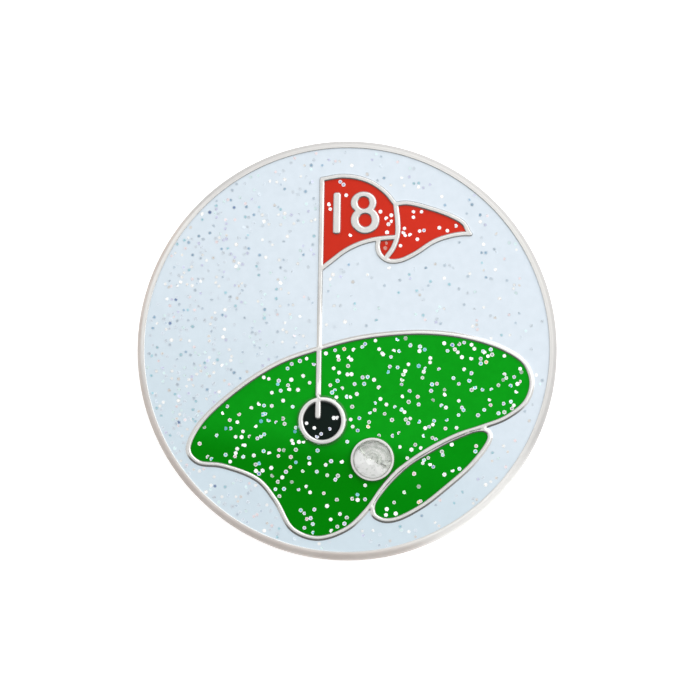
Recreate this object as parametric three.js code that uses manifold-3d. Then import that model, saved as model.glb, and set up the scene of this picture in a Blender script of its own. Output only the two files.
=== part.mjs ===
// A golf ball marker: a struck metal disc whose raised lines draw a flag on a putting green.
// The cells between the lines are filled with coloured enamel, and one foiled crystal is glued
// into a bezel as the ball. Millimetres, +Z up. The marker lies on its flat back, with the
// origin at the middle of the back face and the flag pole running along +Y.
import * as THREE from "three";
import { mergeVertices } from "three/addons/utils/BufferGeometryUtils.js";
import Module from "manifold-3d";

const wasm = await Module();
wasm.setup();

// ---- Driving dimensions, in millimetres ----

const DISC_RADIUS = 12.7;
const RIM_TOP = 2.0;
const RIM_WIDTH = 0.43;
const RIM_EDGE_RADIUS = 0.28;
const BACK_EDGE_RADIUS = 0.15;
const FLOOR = 1.3; // bottom of the enamel cells
const LINE_TOP = 1.95;
const LINE_WIDTH = 0.28;
const ENAMEL_TOP = 1.87;
const FIT_GAP = 0.01; // between the metal and each fill, and under the stone
const CELL_RADIUS = DISC_RADIUS - RIM_WIDTH;

const POLE_X = -1.67;
const POLE_TOP_Y = 10.33;
const POLE_FOOT_Y = -4.12;

const CUP = { x: -1.41, y: -4.37, inner: 1.17, outer: 1.5, top: 2.1 };
const BEZEL = { x: 1.66, y: -6.67, outer: 1.3, top: 2.1 };

const STONE = { radius: 1.12, girdleBottom: 1.84, girdleTop: 1.9, table: 2.3 };
const PAVILION_ANGLE = 40; // degrees from the horizontal, as are the crown's
const CROWN_ANGLE = 41;
const GIRDLE_BREAK_ANGLE = 47;
const STAR_ANGLE = 26;
const STAR_RADIUS = 1.2; // where the planes of the star facets reach the height of the girdle
const FOIL_THICKNESS = 0.03;
const GLUE_THICKNESS = 0.07;
const BEZEL_BEVEL = 0.08;

const STEPS_PER_SPAN = 5; // straight steps between two neighbouring points of a drawn line
const DISC_SIDES = 144;
const RING_SIDES = 48;
const OVERLAP = 0.05; // how far a raised line is rooted in the floor, so that the two join

// ---- The drawing: middles of the raised lines, as [x, y] ----

const GREEN_EDGE = [
  [-4.1, -0.88],
  [-6.7, -2.6],
  [-8.95, -4.83],
  [-9.48, -6.3],
  [-8.9, -6.98],
  [-7.4, -7.18],
  [-5.25, -8.0],
  [-4.15, -9.25],
  [-3.1, -10.95],
  [-1.6, -11.48],
  [0.2, -10.87],
  [1.38, -9.73],
  [2.75, -7.82],
  [4.6, -6.32],
  [6.7, -5.17],
  [8.25, -4.62],
  [9.7, -4.03],
  [10.9, -3.02],
  [11.22, -1.85],
  [10.8, -0.74],
  [9.5, 0.14],
  [7.2, 0.84],
  [4.9, 1.08],
  [2.85, 0.99],
  [0.5, 0.65],
  [-1.67, 0.03],
];

const APRON_EDGE = [
  [8.35, -4.76],
  [7.8, -4.8],
  [7.12, -5.06],
  [6.02, -5.57],
  [4.97, -6.18],
  [3.95, -6.82],
  [3.03, -7.64],
  [2.25, -8.52],
  [1.74, -9.35],
  [1.78, -10],
  [2.3, -10.32],
  [3.1, -10.28],
  [4.63, -9.5],
  [6.05, -8.38],
  [7.81, -6.73],
  [8.74, -5.3],
  [8.66, -4.93],
];

const FLAG_TOP = [
  [POLE_X, POLE_TOP_Y],
  [-0.5, 10.53],
  [0.5, 10.45],
  [1.44, 10.11],
  [2.24, 9.53],
  [2.83, 8.83],
];

const FLAG_FOLD = [
  [2.83, 8.83],
  [2.97, 7.7],
  [2.96, 6.95],
  [2.72, 6.2],
  [2.24, 5.5],
];

const TAIL_TOP = [
  [2.83, 8.86],
  [3.5, 8.94],
  [4.8, 8.66],
  [6.2, 8.18],
  [6.98, 7.72],
  [7.3, 7.17],
];

const TAIL_BOTTOM = [
  [7.37, 7.09],
  [6.8, 7.07],
  [6.1, 6.93],
  [5.2, 6.6],
  [4.0, 5.81],
  [3.1, 5.4],
  [2.4, 5.4],
  [1.93, 5.74],
  [1.76, 6.2],
  [1.82, 6.72],
];

const FLAG_BOTTOM = [
  [POLE_X, 4.8],
  [-1.0, 5.34],
  [-0.2, 5.96],
  [0.7, 6.42],
  [1.7, 6.7],
  [2.95, 6.84],
];

const POLE = [
  [POLE_X, POLE_TOP_Y],
  [POLE_X, POLE_FOOT_Y],
];

const DIGIT_ONE = { x: -0.73, y: 8.26, width: 0.41, height: 2.51, corner: 0.15 };

// The digit eight is two ovals joined, each with a round counter.
const DIGIT_EIGHT = [
  { x: 0.88, y: 8.91, radiusX: 0.76, radiusY: 0.68, counter: 0.37 },
  { x: 0.99, y: 7.85, radiusX: 0.85, radiusY: 0.82, counter: 0.41 },
];

// ---- Solids ----

// A closed three.js geometry as a manifold-3d solid.
function solid(geometry) {
  const bare = geometry.clone();
  bare.deleteAttribute("normal");
  bare.deleteAttribute("uv");
  const merged = mergeVertices(bare, 1e-5);
  return new wasm.Manifold(
    new wasm.Mesh({
      numProp: 3,
      vertProperties: merged.attributes.position.array,
      triVerts: new Uint32Array(merged.index.array),
    }),
  );
}

function geometryOf(body) {
  const mesh = body.getMesh();
  const geometry = new THREE.BufferGeometry();
  geometry.setAttribute("position", new THREE.BufferAttribute(mesh.vertProperties, 3));
  geometry.setIndex(new THREE.BufferAttribute(mesh.triVerts, 1));
  return geometry;
}

function joined(bodies) {
  return bodies.reduce((sum, body) => sum.add(body));
}

// A flat outline raised from one height to another.
function prism(shape, bottom, top) {
  const geometry = new THREE.ExtrudeGeometry(shape, { depth: top - bottom, bevelEnabled: false });
  geometry.translate(0, 0, bottom);
  return solid(geometry);
}

// A profile of [radius, height] points, turned round a vertical axis at (x, y).
function turned(profile, sides, x = 0, y = 0) {
  const points = profile.map(([radius, height]) => new THREE.Vector2(radius, height));
  const geometry = new THREE.LatheGeometry(points, sides);
  geometry.rotateX(Math.PI / 2);
  geometry.translate(x, y, 0);
  return solid(geometry);
}

function cylinder(radius, bottom, top, sides, x = 0, y = 0) {
  const profile = [
    [0, bottom],
    [radius, bottom],
    [radius, top],
    [0, top],
  ];
  return turned(profile, sides, x, y);
}

// A quarter round in a profile, turning upwards about a centre at [radius, height].
function quarterRound(centre, size, fromAngle) {
  const steps = 3;
  return Array.from({ length: steps + 1 }, (_, i) => {
    const angle = fromAngle + (i / steps) * (Math.PI / 2);
    return [centre[0] + size * Math.cos(angle), centre[1] + size * Math.sin(angle)];
  });
}

// ---- Raised lines ----

// A smooth curve through the given points, as a list of THREE.Vector2 points.
function smooth(points, closed) {
  const through = points.map(([x, y]) => new THREE.Vector3(x, y, 0));
  const curve = new THREE.CatmullRomCurve3(through, closed, "centripetal");
  const spans = closed ? points.length : points.length - 1;
  const path = curve.getPoints(spans * STEPS_PER_SPAN).map(({ x, y }) => new THREE.Vector2(x, y));
  return closed ? path.slice(0, -1) : path;
}

// The points moved sideways by an offset, left of the direction of travel.
function sideways(path, offset, closed) {
  const last = path.length - 1;
  return path.map((point, i) => {
    const before = path[closed ? (i + last) % path.length : Math.max(i - 1, 0)];
    const after = path[closed ? (i + 1) % path.length : Math.min(i + 1, last)];
    const along = after.clone().sub(before).normalize();
    return new THREE.Vector2(point.x - along.y * offset, point.y + along.x * offset);
  });
}

// Half a turn round one end of an open line, from one side to the other.
function roundEnd(centre, from, steps = 5) {
  const arm = from.clone().sub(centre);
  return Array.from({ length: steps - 1 }, (_, i) => {
    const turn = (-Math.PI * (i + 1)) / steps;
    return centre.clone().add(arm.clone().rotateAround(new THREE.Vector2(), turn));
  });
}

function lineShape(points, width, closed) {
  const path = smooth(points, closed);
  const left = sideways(path, width / 2, closed);
  const right = sideways(path, -width / 2, closed);
  if (closed) {
    const shape = new THREE.Shape(right);
    shape.holes.push(new THREE.Path(left.reverse()));
    return shape;
  }
  const end = roundEnd(path.at(-1), left.at(-1));
  const start = roundEnd(path[0], right[0]);
  return new THREE.Shape([...left, ...end, ...right.reverse(), ...start]);
}

// The outline of a bar with rounded corners.
function barShape({ x, y, width, height, corner }, grow) {
  const [w, h, r] = [width / 2 + grow, height / 2 + grow, corner + grow];
  const shape = new THREE.Shape();
  shape.absarc(x + w - r, y + h - r, r, 0, Math.PI / 2);
  shape.absarc(x - w + r, y + h - r, r, Math.PI / 2, Math.PI);
  shape.absarc(x - w + r, y - h + r, r, Math.PI, 1.5 * Math.PI);
  shape.absarc(x + w - r, y - h + r, r, 1.5 * Math.PI, 2 * Math.PI);
  return shape;
}

function ovalShape(x, y, radiusX, radiusY) {
  const curve = new THREE.EllipseCurve(x, y, radiusX, radiusY, 0, 2 * Math.PI);
  return new THREE.Shape(curve.getPoints(RING_SIDES / 2).slice(0, -1));
}

function digitEight(grow, bottom) {
  const ovals = DIGIT_EIGHT.map(({ x, y, radiusX, radiusY }) =>
    prism(ovalShape(x, y, radiusX + grow, radiusY + grow), bottom, LINE_TOP),
  );
  const counters = DIGIT_EIGHT.map(({ x, y, counter }) =>
    cylinder(counter - grow, bottom - 1, LINE_TOP + 1, RING_SIDES / 2, x, y),
  );
  return joined(ovals).subtract(joined(counters));
}

const CLOSED_LINES = [GREEN_EDGE, APRON_EDGE];
const OPEN_LINES = [FLAG_TOP, FLAG_FOLD, TAIL_TOP, TAIL_BOTTOM, FLAG_BOTTOM, POLE];

// Everything that stands up from the floor inside the rim, grown sideways by the given amount.
function raisedWork(grow, bottom) {
  const width = LINE_WIDTH + 2 * grow;
  const shapes = [
    ...CLOSED_LINES.map((points) => lineShape(points, width, true)),
    ...OPEN_LINES.map((points) => lineShape(points, width, false)),
    barShape(DIGIT_ONE, grow),
  ];
  const lines = shapes.map((shape) => prism(shape, bottom, LINE_TOP));
  const cupRing = cylinder(CUP.outer + grow, bottom, CUP.top, RING_SIDES, CUP.x, CUP.y).subtract(
    cylinder(CUP.inner - grow, bottom - 1, CUP.top + 1, RING_SIDES, CUP.x, CUP.y),
  );
  const bezel = cylinder(BEZEL.outer + grow, bottom, BEZEL.top, RING_SIDES, BEZEL.x, BEZEL.y);
  return joined([...lines, digitEight(grow, bottom), cupRing, bezel]);
}

// ---- The crystal: a round stone cut flat by flat, with a pointed back ----

const FACETS = 8;
const HALF_FACET = Math.PI / FACETS;
const GIRDLE_SIDES = 4 * FACETS;
const radians = THREE.MathUtils.degToRad;

// Rings of equal facets. Each plane faces out at its angle from straight up, and passes through
// the given radius at the given height.
const PAVILION = [
  {
    count: FACETS,
    turn: HALF_FACET,
    angle: 180 - PAVILION_ANGLE,
    radius: STONE.radius,
    height: STONE.girdleBottom,
  },
];
const CROWN_MAINS = {
  count: FACETS,
  turn: HALF_FACET,
  angle: CROWN_ANGLE,
  radius: STONE.radius,
  height: STONE.girdleTop,
};
const CROWN = [
  CROWN_MAINS,
  { ...CROWN_MAINS, count: 2 * FACETS, turn: HALF_FACET / 2, angle: GIRDLE_BREAK_ANGLE },
  { ...CROWN_MAINS, turn: 0, angle: STAR_ANGLE, radius: STAR_RADIUS },
];

// What lies beyond a plane, as a big block resting on it.
function beyond(direction, angle, distance, height) {
  const size = 8;
  const geometry = new THREE.BoxGeometry(size, size, size);
  geometry.translate(0, 0, size / 2 + distance);
  geometry.rotateY(angle);
  geometry.rotateZ(direction);
  geometry.translate(BEZEL.x, BEZEL.y, height);
  return solid(geometry);
}

// Cuts rings of facets, with every plane moved outwards by the given amount.
function faceted(body, rings, grow = 0) {
  const planes = rings.flatMap(({ count, turn, angle, radius, height }) => {
    const tilt = radians(angle);
    const distance = radius * Math.sin(tilt) + grow;
    const turns = Array.from({ length: count }, (_, i) => turn + (i * 2 * Math.PI) / count);
    return turns.map((direction) => beyond(direction, tilt, distance, height));
  });
  return planes.reduce((cut, plane) => cut.subtract(plane), body);
}

function stoneBlank(radius, top) {
  return cylinder(radius, 0, top, GIRDLE_SIDES, BEZEL.x, BEZEL.y);
}

// The space that the stone's back takes, grown on every side by the given amount.
function stoneBack(grow) {
  return faceted(stoneBlank(STONE.radius + 1, STONE.girdleBottom + 1), PAVILION, grow);
}

function crystal() {
  return faceted(stoneBlank(STONE.radius, STONE.table), [...PAVILION, ...CROWN]);
}

const FOIL_OUTSIDE = FIT_GAP + FOIL_THICKNESS;
const GLUE_INSIDE = FOIL_OUTSIDE + FIT_GAP;
const GLUE_OUTSIDE = GLUE_INSIDE + GLUE_THICKNESS;
const SEAT_RADIUS = STONE.radius + FIT_GAP;

// The mirror coat on the stone's back.
function foil() {
  const coat = faceted(stoneBlank(STONE.radius, STONE.girdleBottom), PAVILION, FOIL_OUTSIDE);
  return coat.subtract(stoneBack(FIT_GAP));
}

// A cone below the stone's back, at the given distance from it, up to a radius.
function coneProfile(distance, radius) {
  const slope = Math.tan(radians(PAVILION_ANGLE));
  const culet = STONE.girdleBottom - STONE.radius * slope;
  const tip = culet - distance / Math.cos(radians(PAVILION_ANGLE));
  return [
    [0, tip],
    [radius, tip + radius * slope],
  ];
}

// The hole in the bezel: a cone for the stone's back, then a straight wall and a small bevel.
function seat() {
  const mouth = SEAT_RADIUS + BEZEL_BEVEL;
  const profile = [
    ...coneProfile(GLUE_OUTSIDE + FIT_GAP, SEAT_RADIUS),
    [SEAT_RADIUS, BEZEL.top - BEZEL_BEVEL],
    [mouth, BEZEL.top],
    [mouth, BEZEL.top + 1],
    [0, BEZEL.top + 1],
  ];
  return turned(profile, RING_SIDES, BEZEL.x, BEZEL.y);
}

// The glue between the foil and the seat.
function glue() {
  const radius = SEAT_RADIUS - 2 * FIT_GAP;
  const top = STONE.girdleBottom - 2 * FIT_GAP;
  const profile = [...coneProfile(GLUE_OUTSIDE, radius), [radius, top], [0, top]];
  return turned(profile, RING_SIDES, BEZEL.x, BEZEL.y).subtract(stoneBack(GLUE_INSIDE));
}

// ---- The struck disc ----

function struckDisc() {
  const backEdge = [DISC_RADIUS - BACK_EDGE_RADIUS, BACK_EDGE_RADIUS];
  const rimEdge = [DISC_RADIUS - RIM_EDGE_RADIUS, RIM_TOP - RIM_EDGE_RADIUS];
  const profile = [
    [0, 0],
    ...quarterRound(backEdge, BACK_EDGE_RADIUS, -Math.PI / 2),
    ...quarterRound(rimEdge, RIM_EDGE_RADIUS, 0),
    [CELL_RADIUS, RIM_TOP],
    [CELL_RADIUS, FLOOR],
    [0, FLOOR],
  ];
  const blank = turned(profile, DISC_SIDES);
  return blank.add(raisedWork(0, FLOOR - OVERLAP)).subtract(seat());
}

// ---- Enamel ----

// One point inside each enamel cell.
const CELLS = {
  sky_enamel: { at: [-7, 4], colour: "sky" },
  green_enamel: { at: [5, -2], colour: "green" },
  apron_enamel: { at: [5, -8], colour: "green" },
  cup_enamel: { at: [-1, -5], colour: "black" },
  flag_enamel: { at: [2.2, 7.8], colour: "red" },
  flag_fold_enamel: { at: [2.3, 6.4], colour: "red" },
  flag_tail_enamel: { at: [4.5, 7.5], colour: "red" },
  eight_upper_enamel: { at: [DIGIT_EIGHT[0].x, DIGIT_EIGHT[0].y], colour: "red" },
  eight_lower_enamel: { at: [DIGIT_EIGHT[1].x, DIGIT_EIGHT[1].y], colour: "red" },
};

function holds(body, [x, y]) {
  const probe = new THREE.BoxGeometry(FIT_GAP, FIT_GAP, FIT_GAP);
  probe.translate(x, y, (FLOOR + ENAMEL_TOP) / 2);
  return body.intersect(solid(probe)).volume() > 0;
}

// A level fill of the whole recess, cut into cells by the raised work.
function enamelCells() {
  const level = cylinder(CELL_RADIUS - FIT_GAP, FLOOR + FIT_GAP, ENAMEL_TOP, DISC_SIDES);
  const cells = level.subtract(raisedWork(FIT_GAP, FLOOR - OVERLAP)).decompose();
  return Object.entries(CELLS).map(([name, { at, colour }]) => {
    const body = cells.find((cell) => holds(cell, at));
    return { name, colour, body };
  });
}

// ---- The marker ----

function finish(colour, roughness, metalness, extra = {}) {
  return new THREE.MeshStandardMaterial({ color: colour, roughness, metalness, ...extra });
}

const MATERIALS = {
  nickel: finish(0xe4e3dc, 0.22, 1),
  sky: finish(0xdbe7f2, 0.15, 0),
  green: finish(0x0f9a1c, 0.15, 0),
  red: finish(0xd8342a, 0.15, 0),
  black: finish(0x14181b, 0.15, 0),
  crystal: finish(0xf6faf8, 0.02, 0, { transparent: true, opacity: 0.4 }),
  foil: finish(0xe9ebea, 0.08, 1),
  glue: finish(0xe8e2cf, 0.4, 0),
};

const marker = new THREE.Group();

function add(name, body, material) {
  const mesh = new THREE.Mesh(geometryOf(body), MATERIALS[material]);
  mesh.name = name;
  marker.add(mesh);
}

add("struck_disc", struckDisc(), "nickel");
enamelCells().forEach(({ name, body, colour }) => add(name, body, colour));
add("crystal", crystal(), "crystal");
add("crystal_foil", foil(), "foil");
add("crystal_glue", glue(), "glue");

export default marker;
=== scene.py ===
import math

import bmesh
import bpy
import numpy as np
from mathutils import Matrix, Quaternion, Vector
from mathutils.geometry import delaunay_2d_cdt
from mathutils.kdtree import KDTree


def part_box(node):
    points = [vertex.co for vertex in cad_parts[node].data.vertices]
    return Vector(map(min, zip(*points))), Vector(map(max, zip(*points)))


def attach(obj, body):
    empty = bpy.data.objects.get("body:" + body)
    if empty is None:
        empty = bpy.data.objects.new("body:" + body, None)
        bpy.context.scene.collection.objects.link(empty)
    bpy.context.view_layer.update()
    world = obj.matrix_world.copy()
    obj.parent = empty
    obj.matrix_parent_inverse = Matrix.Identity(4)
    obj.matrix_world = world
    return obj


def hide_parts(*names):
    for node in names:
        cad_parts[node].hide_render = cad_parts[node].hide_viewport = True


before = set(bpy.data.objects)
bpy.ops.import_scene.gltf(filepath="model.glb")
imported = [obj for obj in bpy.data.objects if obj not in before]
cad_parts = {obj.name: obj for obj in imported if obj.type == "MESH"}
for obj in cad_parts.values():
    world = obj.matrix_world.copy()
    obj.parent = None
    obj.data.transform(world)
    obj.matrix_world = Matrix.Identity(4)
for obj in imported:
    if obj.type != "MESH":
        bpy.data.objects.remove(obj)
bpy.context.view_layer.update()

MM = 0.001


def box_mm(node):
    low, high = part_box(node)
    return np.array(low) / MM, np.array(high) / MM


# ---- Sizes read from the frame ----

DISC_LOW, DISC_HIGH = box_mm("struck_disc")
DISC_RADIUS = (DISC_HIGH[0] - DISC_LOW[0]) / 2
SKY_LOW, SKY_HIGH = box_mm("sky_enamel")
CELL_FLOOR = SKY_LOW[2]
ENAMEL_TOP = SKY_HIGH[2]
RING_TOP = DISC_HIGH[2]
STONE_LOW, STONE_HIGH = box_mm("crystal")
STONE_X, STONE_Y = (STONE_LOW[:2] + STONE_HIGH[:2]) / 2
STONE_RADIUS = (STONE_HIGH[0] - STONE_LOW[0]) / 2
SILVER_TOP = box_mm("crystal_foil")[1][2]
GLUE_LOW, GLUE_HIGH = box_mm("crystal_glue")
CUP_LOW, CUP_HIGH = box_mm("cup_enamel")
CUP_X, CUP_Y = (CUP_LOW[:2] + CUP_HIGH[:2]) / 2
CUP_RADIUS = (CUP_HIGH[0] - CUP_LOW[0]) / 2

# ---- Sizes of the finish, in millimetres ----

RIM_TOP = ENAMEL_TOP + 0.055
LINE_TOP = ENAMEL_TOP + 0.08
SEAM = 0.002  # between the metal and the enamel
# How far a raised line's surface lies below its top, against the distance in from its wall.
# The flank is broad where the pale sky enamel lies thin, and narrow beside the other fills.
BROAD_FLANK = (
    (0, 0.075), (0.015, 0.067), (0.03, 0.057), (0.048, 0.046), (0.065, 0.035), (0.08, 0.025),
    (0.095, 0.016), (0.118, 0.005), (0.138, 0),
)
NARROW_FLANK = ((0, 0.05), (0.018, 0.036), (0.038, 0.018), (0.058, 0.005), (0.078, 0), (0.1, 0))
FLAT_START = 0.015  # a second ring this far in keeps the shading of the rim's top flat
RIM_FLANK_SHARE = 0.15  # the rim's inner flank is smaller than the lines'
CUP_RING_WIDTH = 0.34
CUP_RING_FLANK = ((0, 0.2), (0.03, 0.13), (0.06, 0.065), (0.09, 0.02), (0.115, 0))
RING_OUTSIDE = 0.55  # of the ring's width out from its middle, just past its outer wall
POLE_SLOPE_END = 1.1  # from the middle of the cup's ring, where the pole is down at the lines
# The sky fill gets fuller from the first of these y to the second. The flank beside it gets
# narrower, down to a share of its width.
FULLER_SKY = (0, 5)
FULLER_SKY_FLANK = 0.5
# The valley between the green's line and the apron's line, where the two run side by side.
GROOVE_DEPTH = 0.045
GROOVE_WIDTH = 0.075
GROOVE_BALANCE = 1.9  # how many times further it lies from the green than from the apron
GROOVE_FADE = (0.39, 0.46)  # it fades out as the two walls move this far apart
# Extra points draw the valley: at these distances from the apron's wall, within a distance from
# the green's, and clear of every wall.
GROOVE_RINGS = (0.1, 0.125, 0.15, 0.19, 0.24)
GROOVE_ZONE = 0.35
GROOVE_CLEAR = 0.08
# The outer edge of the rim: distance in from the side, and drop below the top.
TRIMMED_EDGE = ((0.31, 0), (0.27, 0.012), (0.23, 0.04), (0.05, 0.21), (0.015, 0.26), (0, 0.33))
BACK_ROUND = 0.14
BACK_RINGS = (0.9, 0.7, 0.45, 0.2)  # of the disc's radius
SEAT_GAP = 0.01  # between the stone and its bezel
BEZEL_OUTER_ROUND = 0.035
BEZEL_BEVEL = 0.055
# The bezel's lip, from its top in and down to the seat: distance out from the seat and drop below
# the top, in bevels.
BEZEL_LIP = ((1, 0), (0.8, 0.3), (0.15, 2.4), (0, 3))
SEAT_OVERLAP = 0.03  # how far the seat's wall goes down past the top of the glue
SEAT_TIP = (0.02, 0.005)  # radius at the seat's deepest point, and its depth below the glue
ENAMEL_BOTTOM = CELL_FLOOR + 0.01
ENAMEL_SINK = 0.008  # of the surface in the middle of a fill
MENISCUS_RISE = 0.012
MENISCUS_REACH = 0.06
MENISCUS_RINGS = (0.025, 0.06, 0.11, 0.18, 0.3)
CALM_REACH = 3 * MENISCUS_REACH  # the ripple dies away this near to the metal
RIPPLE_HEIGHT = 0.002
# Waves in a poured surface: radians per millimetre along x and along y, and the phase.
RIPPLES = ((1.1, 0.6, 0), (0.7, -1.3, 2), (2.3, 1.9, 4))
EDGE_SHADE_REACH = 0.045  # how far the painted shade darkens the fills beside the metal

# ---- How finely the shapes are drawn, in millimetres where a length ----

OUTLINE_STEP = 0.09
CORNER_DEGREES = 38
SHORT_EDGE = 0.02
LONG_EDGE = 1.0  # edges longer than this are straight
ROUND_TOLERANCE = 0.02  # an outline whose radius varies less than this is a circle
SAME_PLACE = 0.01
FEWEST_CIRCLE_STEPS = 48
CIRCLE_STEPS = 420
RING_STEPS = 110
QUARTER_STEPS = 6
GRID_STEP = 0.45
GRID_MARGIN = 0.4
LEVEL_TOLERANCE = 0.002
KEYS_PER_MM = 1e5  # CAD points that round to the same key are one point
WELD_DISTANCE = 1e-5
SHORTEST_EDGE = 1e-6
MESHING_TOLERANCE = 1e-7
NEAREST_EDGES = 4  # how many edges are tried when a distance to an outline is worked out
SHARP_DEGREES = 40  # edges that turn more than this are shaded as sharp
# A point moved off a wall stays only where no other wall is nearer than this share of its move.
CLEAR_OF_LINES = 0.95
CLEAR_OF_CUP_RING = 0.9
CLEAR_IN_FILL = 0.93


# ---- Plane geometry ----


def smoothstep(low, high, value):
    t = np.clip((value - low) / (high - low), 0, 1)
    return t * t * (3 - 2 * t)


def circle(x, y, radius, steps):
    turn = np.arange(steps) * 2 * math.pi / steps
    return np.stack([x + radius * np.cos(turn), y + radius * np.sin(turn)], axis=1)


def top_loops(node):
    """The outlines of a CAD node's top face, as arrays of (x, y), with material on the left."""
    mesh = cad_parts[node].data
    points = np.array([v.co for v in mesh.vertices]) / MM
    top = points[:, 2].max()
    keys = [tuple(key) for key in np.round(points * KEYS_PER_MM).astype(int)]
    place = {key: points[i, :2] for i, key in enumerate(keys)}
    edges = set()
    for face in mesh.polygons:
        if all(abs(points[v, 2] - top) < LEVEL_TOLERANCE for v in face.vertices):
            ring = [keys[v] for v in face.vertices]
            edges.update(zip(ring, ring[1:] + ring[:1]))
    follow = {a: b for a, b in edges if (b, a) not in edges}
    loops = []
    while follow:
        start, step = follow.popitem()
        loop = [start]
        while step != start:
            loop.append(step)
            step = follow.pop(step)
        loops.append(np.array([place[key] for key in loop]))
    return loops


def turn_angles(loop):
    ahead = np.roll(loop, -1, axis=0) - loop
    behind = loop - np.roll(loop, 1, axis=0)
    cross = behind[:, 0] * ahead[:, 1] - behind[:, 1] * ahead[:, 0]
    return np.degrees(np.abs(np.arctan2(cross, (behind * ahead).sum(axis=1))))


def curve_through(points):
    """Points along a centripetal Catmull-Rom curve, with the last point left out."""
    first = 2 * points[0] - points[1]
    last = 2 * points[-1] - points[-2]
    padded = np.vstack([first, points, last])
    result = []
    for p0, p1, p2, p3 in zip(padded, padded[1:], padded[2:], padded[3:]):
        t1 = np.linalg.norm(p1 - p0) ** 0.5
        t2 = t1 + np.linalg.norm(p2 - p1) ** 0.5
        t3 = t2 + np.linalg.norm(p3 - p2) ** 0.5
        steps = max(1, math.ceil(np.linalg.norm(p2 - p1) / OUTLINE_STEP))
        for i in range(steps):
            t = t1 + (t2 - t1) * i / steps
            a1 = (t1 - t) / t1 * p0 + t / t1 * p1
            a2 = (t2 - t) / (t2 - t1) * p1 + (t - t1) / (t2 - t1) * p2
            a3 = (t3 - t) / (t3 - t2) * p2 + (t - t2) / (t3 - t2) * p3
            b1 = (t2 - t) / t2 * a1 + t / t2 * a2
            b2 = (t3 - t) / (t3 - t1) * a2 + (t - t1) / (t3 - t1) * a3
            result.append((t2 - t) / (t2 - t1) * b1 + (t - t1) / (t2 - t1) * b2)
    return result


def without_short_edges(loop):
    """Drops points that almost coincide with the last one kept."""
    kept = [loop[0]]
    for point in loop[1:]:
        if math.dist(point, kept[-1]) > SHORT_EDGE:
            kept.append(point)
    if math.dist(kept[-1], kept[0]) < SHORT_EDGE:
        kept.pop()
    return np.array(kept)


def smooth_loop(loop):
    """The same outline with smooth curves between its corners."""
    centre = loop.mean(axis=0)
    reach = np.linalg.norm(loop - centre, axis=1)
    if np.ptp(reach) < ROUND_TOLERANCE:
        steps = max(FEWEST_CIRCLE_STEPS, math.ceil(2 * math.pi * reach.mean() / OUTLINE_STEP))
        if reach.mean() > DISC_RADIUS / 2:
            steps = CIRCLE_STEPS
        clockwise = signed_area(loop) < 0
        round_loop = circle(*centre, reach.max(), steps)
        return round_loop[::-1] if clockwise else round_loop
    loop = without_short_edges(loop)
    straight = np.linalg.norm(np.roll(loop, -1, axis=0) - loop, axis=1) > LONG_EDGE
    corners = np.flatnonzero((turn_angles(loop) > CORNER_DEGREES) | straight | np.roll(straight, 1))
    if len(corners) == 0:
        corners = np.array([0])
    result = []
    for start, end in zip(corners, np.roll(corners, -1)):
        span = (end - start - 1) % len(loop) + 1
        result += curve_through(loop[(start + np.arange(span + 1)) % len(loop)])
    return np.array(result)


def signed_area(loop):
    ahead = np.roll(loop, -1, axis=0)
    return 0.5 * (loop[:, 0] * ahead[:, 1] - loop[:, 1] * ahead[:, 0]).sum()


def normals(loop):
    """At each point, the direction towards the left of travel."""
    along = np.roll(loop, -1, axis=0) - np.roll(loop, 1, axis=0)
    along /= np.linalg.norm(along, axis=1)[:, None]
    return np.stack([-along[:, 1], along[:, 0]], axis=1)


def moved_left(loop, distance):
    return loop + normals(loop) * distance


def inside(points, loops):
    """Which points lie inside the loops, by the even-odd rule."""
    result = np.zeros(len(points), bool)
    for loop in loops:
        ahead = np.roll(loop, -1, axis=0)
        for (x1, y1), (x2, y2) in zip(loop, ahead):
            if y1 == y2:
                continue
            spans = (points[:, 1] < y1) != (points[:, 1] < y2)
            crossing = x1 + (points[:, 1] - y1) * (x2 - x1) / (y2 - y1)
            result ^= spans & (points[:, 0] < crossing)
    return result


class Border:
    """Distances to a set of closed outlines."""

    def __init__(self, loops):
        self.starts = np.vstack(loops)
        self.ends = np.vstack([np.roll(loop, -1, axis=0) for loop in loops])
        middles = (self.starts + self.ends) / 2
        self.tree = KDTree(len(middles))
        for i, (x, y) in enumerate(middles):
            self.tree.insert((x, y, 0), i)
        self.tree.balance()

    def distance(self, points):
        index = np.array([
            [hit[1] for hit in self.tree.find_n((x, y, 0), NEAREST_EDGES)] for x, y in points
        ])
        start = self.starts[index]
        span = self.ends[index] - start
        offset = points[:, None] - start
        share = np.clip((offset * span).sum(2) / (span * span).sum(2), 0, 1)
        return np.linalg.norm(offset - share[..., None] * span, axis=2).min(axis=1)

    def clear(self, points, distance):
        """The points that lie further than a distance from the outlines."""
        return points[self.distance(points) > distance] if len(points) else points


# ---- Meshes ----


class Builder:
    """Collects points in millimetres and faces, and welds what coincides."""

    def __init__(self):
        self.points = []
        self.faces = []

    def add(self, points, faces):
        start = len(self.points)
        self.points += [tuple(p) for p in points]
        self.faces += [tuple(start + i for i in face) for face in faces]

    def object(self, name):
        mesh = bpy.data.meshes.new(name)
        mesh.from_pydata([tuple(MM * c for c in p) for p in self.points], [], self.faces)
        shape = bmesh.new()
        shape.from_mesh(mesh)
        bmesh.ops.remove_doubles(shape, verts=shape.verts, dist=WELD_DISTANCE * MM)
        bmesh.ops.dissolve_degenerate(shape, edges=shape.edges, dist=SHORTEST_EDGE * MM)
        bmesh.ops.recalc_face_normals(shape, faces=shape.faces)
        shape.to_mesh(mesh)
        shape.free()
        mesh.polygons.foreach_set("use_smooth", [True] * len(mesh.polygons))
        mesh.set_sharp_from_angle(angle=math.radians(SHARP_DEGREES))
        piece = bpy.data.objects.new(name, mesh)
        bpy.context.scene.collection.objects.link(piece)
        return piece


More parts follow.
